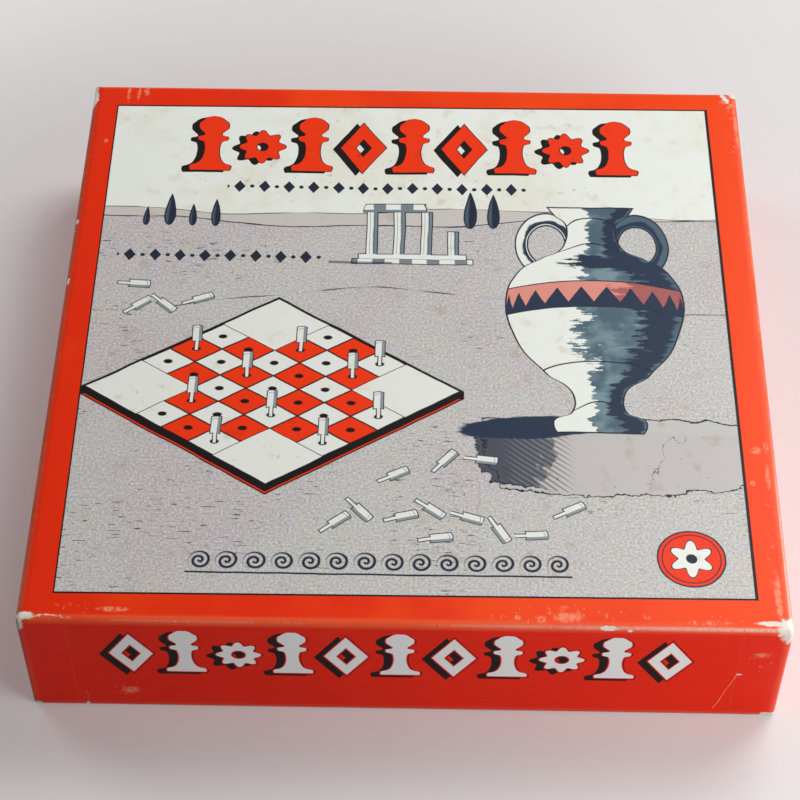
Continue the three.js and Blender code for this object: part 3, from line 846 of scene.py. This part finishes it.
def board_print(place, x, y, z):
    """The printed squares: a cross of orange and white with black lines, the corners left white."""
    u, v = x / BOARD_PITCH, y / BOARD_PITCH
    colour, column, row, cross = chequered(u, v, BOARD_LINE / BOARD_PITCH, INK_SOFT / BOARD_PITCH)
    fibres = noise(place, 1.6, 4, 0.7)
    clouds = noise(place, 0.03, 4, 0.6)
    hole = length(x - column * BOARD_PITCH, y - row * BOARD_PITCH)
    colour = paint(colour, (hole - 3.4).stroke(0.25) * cross * 0.7, BLACK)
    outer = abs(x).most(abs(y)) - BOARD_FRAME
    colour = paint(colour, outer.stroke(0.7), BLACK)
    colour = paint(colour, (outer - 0.4).above(0), BLACK)
    colour = stain(colour, clouds.ramp(0.5, 0.75) * 0.5, FOXING)
    rub = noise(place, 0.5, 4, 0.7).ramp(0.62, 0.7) * clouds.ramp(0.45, 0.6)
    colour = paint(colour, rub * 0.35, TORN_PAPER_AND_HIGHLIGHT)
    return colour, 0.5 + (fibres - 0.5) * 0.2, fibres, 0.05


def peg_wood(place, x, y, z):
    """Pale turned wood with its grain along the peg and darker end grain, slightly soiled by hands."""
    own = noise(vector(x, y), 0.02, 0)
    grain = noise(vector(x * 1.6, y * 1.6, z * 0.12 + own * 40), 1.1, 4, 0.65)
    turned = (z * 14).sine() * 0.5 + 0.5
    darkened = noise(place, 0.25, 3).ramp(0.5, 0.75)
    colour = paint(PALE_WOOD, grain.ramp(0.42, 0.66) * 0.8, GRAIN_BROWN)
    colour = paint(colour, own.ramp(0.45, 0.6) * 0.3, WARM_WOOD)
    colour = stain(colour, darkened * 0.4, FOXING)
    height = grain * 0.6 + turned * 0.25
    return colour, 0.5 + (grain - 0.5) * 0.25, height, 0.05


def floor_paint(place, x, y, _):
    """A pale floor that fades into the look of the sky away from the object. It is dimmer as a lamp."""
    mottle = noise(place, 0.004, 3)
    away = length(x, y).ramp(FADE_START, FADE_END)
    visible = seen(place)
    colour = paint(paint(FLOOR_DIM, visible, FLOOR_PALE), away, BLACK)
    glow = (away * (SKY_SEEN - FLOOR_GLOW) + FLOOR_GLOW) * visible
    others = ("Specular IOR Level", 0.1), ("Emission Color", WHITE), ("Emission Strength", glow)
    return colour, mottle * 0.1 + 0.75, mottle, 0.01, *others


# Surfaces


def make_piece(name, points, faces, body, materials, nodes, worn_by=None, sharp=40):
    """A piece from arrays of points and faces, merged at its seams and poles, smooth but for sharp edges."""
    mesh = bpy.data.meshes.new(name)
    mesh.from_pydata(points.reshape(-1, 3).tolist(), [], faces.tolist())
    for material in materials:
        mesh.materials.append(material)
    if worn_by is not None:
        mesh.polygons.foreach_set("material_index", worn_by.astype(np.int32))
    shape = bmesh.new()
    shape.from_mesh(mesh)
    bmesh.ops.remove_doubles(shape, verts=shape.verts, dist=1e-7)
    shape.to_mesh(mesh)
    shape.free()
    mesh.shade_smooth()
    mesh.set_sharp_from_angle(angle=np.radians(sharp))
    piece = add_object(name, mesh)
    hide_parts(*nodes)
    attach(piece, body)


def grid_faces(rows, columns, closed=False):
    """Quads between neighbouring rows of a grid whose columns go all the way round, and rows if closed."""
    row = np.arange(rows if closed else rows - 1)[:, None]
    column = np.arange(columns)[None, :]
    onward, after = (column + 1) % columns, (row + 1) % rows
    turns = ((row, column), (row, onward), (after, onward), (after, column))
    corners = np.broadcast_arrays(*(line * columns + place for line, place in turns))
    return np.stack(corners, axis=-1).reshape(-1, 4)


def rounded_rings(half, profile):
    """Rings round the box. Each [inset, height] of the profile gives a square drawn in by its inset, its
    corners rounded by the box's corner radius less the inset."""
    # Places along a wall are closer together where the tabs end under the paper
    even = np.linspace(0, 1, SIDE_POINTS)[1:-1]
    tab = np.array([TAB_WIDTH - TAB_EDGE, TAB_WIDTH, TAB_WIDTH + TAB_EDGE]) / (2 * (half - CORNER_RADIUS))
    shares = np.unique(np.concatenate([even, tab, 1 - tab]))
    insets, heights = (np.asarray(column)[:, None] for column in np.transpose(profile))
    radius = np.maximum(CORNER_RADIUS - insets, LEAST_RADIUS)
    reach = half - insets - radius
    quarter = np.linspace(0, np.pi / 2, CORNER_POINTS)
    arcs, pieces = [], []
    for corner, (right, back) in enumerate([(1, 1), (-1, 1), (-1, -1), (1, -1)]):
        angle = quarter + corner * np.pi / 2
        arc = right * reach + radius * np.cos(angle), back * reach + radius * np.sin(angle)
        arcs.append(np.stack(arc, -1))
    for arc, following in zip(arcs, arcs[1:] + arcs[:1]):
        start, end = arc[:, -1:], following[:, :1]
        pieces += [arc, start + (end - start) * shares[None, :, None]]
    plan = np.concatenate(pieces, axis=1)
    return np.concatenate([plan, np.broadcast_to(heights[..., None], (*plan.shape[:2], 1))], axis=2)


def bend(centre_inset, centre_height, radius, start, end, points):
    """Profile points on an arc: an inset and a height at each angle, 0 facing out and 90 facing up, or a
    radius and a height, 180 facing out."""
    angle = np.radians(np.linspace(start, end, points))
    return np.stack([centre_inset - radius * np.cos(angle), centre_height + radius * np.sin(angle)], -1)


def panel_rows(ring):
    """Rings drawn in from a level ring to its middle, each a share of the way."""
    shares = 1 - np.linspace(0, 1, PANEL_ROWS)[1:, None, None]
    middle = ring[None] * [1, 1, 0]
    return middle * shares + ring[None] * [0, 0, 1]


def lid_wrap_piece(materials):
    """The lid's paper as one closed skin: from the middle of its underside over the chipboard's outside,
    round the rim and its turned-in edge, back up the outside and over the fold to the middle of the top."""
    (half, _, top), (_, _, rim) = LID_HIGH, LID_LOW
    lined = WALL + PAPER
    fold_height = top - LID_FOLD
    profile = np.concatenate([
        bend(LID_FOLD, fold_height, LID_FOLD - PAPER, 90, 0, FOLD_POINTS),
        [(PAPER, rim + PAPER), (WALL, rim + PAPER), (WALL, rim + TURN_IN)],
        np.linspace((lined, rim + TURN_IN), (lined, rim + PAPER), HEM_POINTS),
        bend(WALL, rim + PAPER, -PAPER, 0, 90, RIM_POINTS)[1:],
        bend(PAPER, rim + PAPER, PAPER, -90, 0, RIM_POINTS),
        np.linspace((0, rim + PAPER), (0, fold_height), WALL_POINTS)[1:],
        bend(LID_FOLD, fold_height, LID_FOLD, 0, 90, FOLD_POINTS)[1:],
    ])
    rings = rounded_rings(half, profile)
    outer = np.arange(len(profile)) >= len(profile) - WALL_POINTS - FOLD_POINTS
    x, y = rings[..., 0], rings[..., 1]
    from_corner = half - np.abs(x)
    sunk = TAB_STEP * np.clip((from_corner - TAB_WIDTH) / TAB_EDGE + 0.5, 0, 1)
    on_wall = np.abs(y) > half - LID_FOLD
    fade = np.clip((top - rings[..., 2]) / LID_FOLD, 0, 1)
    rings[..., 1] -= np.where(on_wall & outer[:, None], np.sign(y) * sunk * fade, 0)
    rows = np.concatenate([panel_rows(rings[0])[::-1], rings, panel_rows(rings[-1])])
    faces = grid_faces(len(rows), rows.shape[1])
    centre = rows.reshape(-1, 3)[faces].mean(axis=1)
    on_panel = centre[:, 2] > top - 0.01 * MM
    make_piece("printed_wrap", rows, faces, "lid", materials, ["lid_wrap"], on_panel)


def tray_wrap_piece(material):
    """The tray's paper as a closed band: up its outside, over the rim, down inside and back under itself."""
    half, _, rim = TRAY_HIGH
    lined, under = WALL + PAPER, PAPER + TURN_UNDER
    profile = np.concatenate([
        np.linspace((under, 0), (TRAY_FOLD, 0), UNDER_POINTS),
        bend(TRAY_FOLD, TRAY_FOLD, TRAY_FOLD, -90, 0, FOLD_POINTS)[1:],
        np.linspace((0, TRAY_FOLD), (0, rim - PAPER), WALL_POINTS)[1:],
        bend(PAPER, rim - PAPER, PAPER, 0, 90, RIM_POINTS)[1:],
        bend(WALL, rim - PAPER, -PAPER, -90, 0, RIM_POINTS),
        np.linspace((lined, rim - PAPER), (lined, rim - TURN_IN), HEM_POINTS)[1:],
        [(WALL, rim - TURN_IN), (WALL, rim - PAPER), (PAPER, rim - PAPER), (PAPER, TRAY_FOLD)],
        bend(TRAY_FOLD, TRAY_FOLD, TRAY_FOLD - PAPER, 0, -90, FOLD_POINTS)[1:],
        [(under, PAPER)],
    ])
    rings = rounded_rings(half, profile)
    faces = grid_faces(len(rings), rings.shape[1], closed=True)
    make_piece("tray_paper_band", rings, faces, "tray", [material], ["tray_wrap"])


def peg_pieces(material):
    """Every peg as a turned form: a shank with an eased tip and a flared neck, a square shoulder and a head
    with eased ends, as a profile spun round the peg's own axis."""
    angle = np.linspace(0, 2 * np.pi, PEG_POINTS, endpoint=False)
    tip, head = SHANK_RADIUS - TIP_EASE, HEAD_RADIUS - HEAD_EASE
    for node in sorted(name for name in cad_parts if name.startswith("peg_")):
        low, high = (np.array(corner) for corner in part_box(node))
        centre = (low + high) / 2
        foot, neck, top = low[2], low[2] + SHANK_LENGTH, high[2]
        profile = np.concatenate([
            [(0, foot)],
            bend(tip, foot + TIP_EASE, TIP_EASE, 270, 180, EASE_POINTS),
            [(SHANK_RADIUS, neck - NECK_RISE), (SHANK_RADIUS + NECK_FLARE, neck)],
            bend(head, neck + HEAD_EASE, HEAD_EASE, 270, 180, EASE_POINTS),
            np.linspace((HEAD_RADIUS, neck + HEAD_EASE), (HEAD_RADIUS, top - HEAD_EASE), HEAD_POINTS)[1:-1],
            bend(head, top - HEAD_EASE, HEAD_EASE, 180, 90, EASE_POINTS),
            [(0, top)],
        ])
        radius, height = profile[:, :1], profile[:, 1:]
        ring_x, ring_y = centre[0] + radius * np.cos(angle), centre[1] + radius * np.sin(angle)
        rows = np.stack([ring_x, ring_y, np.broadcast_to(height, ring_x.shape)], -1)
        faces = grid_faces(len(rows), len(angle))
        make_piece("turned_" + node, rows, faces, node, [material], [node], sharp=50)


def dress_frame():
    """Gives the carried-over pieces of the frame their materials."""
    chipboard = make_material("grey_chipboard", pressed_board)
    kraft = make_material("gummed_kraft", kraft_tape)
    dressed = {
        "tray_shell": chipboard,
        "lid_shell": chipboard,
        "rules_leaflet": make_material("cream_leaflet", leaflet_print),
        "board_core": make_material("stained_board", board_wood),
        "board_face": make_material("printed_squares", board_print),
    }
    dressed |= {name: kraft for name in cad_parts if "corner_stay" in name}
    for name, material in dressed.items():
        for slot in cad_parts[name].material_slots:
            slot.material = material


def floor_and_light():
    """A level floor, an even sky that is dimmer as a lamp than it looks, and soft lamps."""
    mesh = bpy.data.meshes.new("floor")
    signs = [(-1, -1), (1, -1), (1, 1), (-1, 1)]
    corners = [(x * FLOOR_HALF, y * FLOOR_HALF, -FLOOR_DROP) for x, y in signs]
    mesh.from_pydata(corners, [], [(0, 1, 2, 3)])
    floor = add_object("floor", mesh)
    mesh.materials.append(make_material("pale_floor", floor_paint))
    world = bpy.data.worlds.new("even_sky")
    bpy.context.scene.world = world
    world.use_nodes = True
    background = world.node_tree.nodes["Background"].inputs
    background["Color"].default_value = WHITE
    strength = between(SKY_LIGHT, seen(Socket(world.node_tree)), SKY_SEEN)
    world.node_tree.links.new(strength.socket, background["Strength"])
    for name, (place, width, power) in LAMPS.items():
        data = bpy.data.lights.new(name, "AREA")
        data.size, data.energy = width, power
        lamp = add_object(name, data)
        lamp.location = place
        lamp.visible_glossy = name == "high_right"
        lamp.visible_camera = False
        lamp.rotation_mode = "QUATERNION"
        lamp.rotation_quaternion = (-Vector(place)).to_track_quat("-Z", "Y")


def seen(tree):
    """1 for what the camera sees, also in reflections and through glass, and 0 for light that falls."""
    kinds = ("Is Camera Ray", "Is Glossy Ray", "Is Transmission Ray")
    camera, glossy, through = (tree.node("LightPath", {}, out=kind) for kind in kinds)
    return camera.most(glossy).most(through)


place_camera()
bpy.context.scene.view_settings.view_transform = "Standard"
lid_wrap_piece([
    make_material("lid_border_print", lid_print, False),
    make_material("lid_picture_print", lid_print, True),
])
tray_wrap_piece(make_material("tray_red_paper", tray_print))
peg_pieces(make_material("turned_wood", peg_wood))
dress_frame()
floor_and_light()
